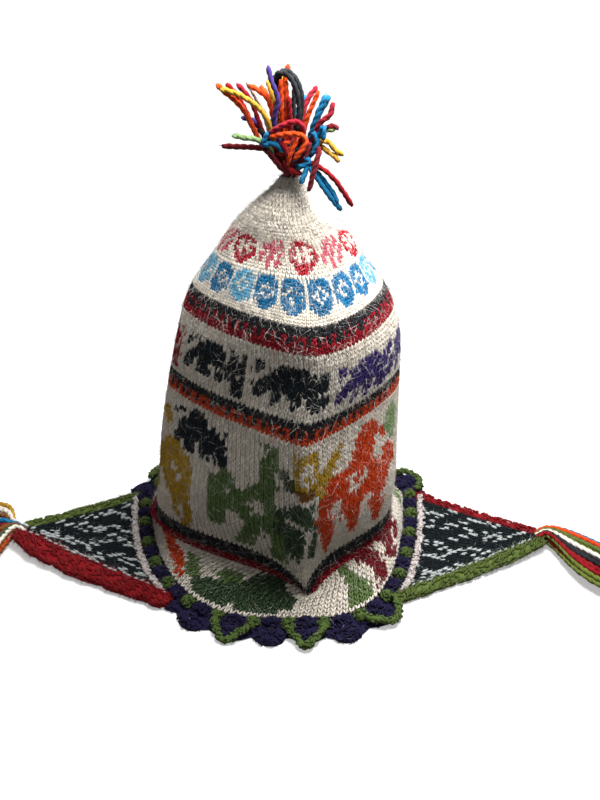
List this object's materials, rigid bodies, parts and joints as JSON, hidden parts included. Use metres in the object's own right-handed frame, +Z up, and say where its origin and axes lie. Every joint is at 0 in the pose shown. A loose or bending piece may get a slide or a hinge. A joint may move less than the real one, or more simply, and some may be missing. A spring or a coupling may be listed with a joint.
{
  "type": "chullo hat",
  "caption": "Knitted Andean chullo hat with a peaked crown, crocheted rim, earflaps spread out flat and yarn tassels at the peak and the flap tips; worn on the head.",
  "frame": {"origin": "on the table, under the middle of the whole hat with its flaps and tassels spread out", "axes": "+X runs along the spread flaps to the right as seen from the front, +Y to the back, +Z up to the peak"},
  "size_m": [0.536, 0.1987, 0.3084],
  "materials": {
    "knit": "fuzzy alpaca colourwork knit",
    "edging": "chunky crochet in navy and green",
    "seam": "white chain stitch",
    "flap": "dark knit with pale zigzag lines",
    "red_border": "crocheted wool edge",
    "green_border": "crocheted wool edge",
    "tie_yarn": "plied wool yarn in many colours",
    "top_yarn": "plied wool yarn in many colours"
  },
  "bodies": {
    "root": {"crown": "knit", "rim_edging": "edging", "flap_seam_left": "seam", "flap_seam_right": "seam", "earflap_left": "flap", "earflap_right": "flap", "red_edge_left": "red_border", "red_edge_right": "red_border", "green_edge_left": "green_border", "green_edge_right": "green_border", "tie_tassel_left": "tie_yarn", "tie_tassel_right": "tie_yarn", "top_tassel": "top_yarn"}
  },
  "joints": []
}
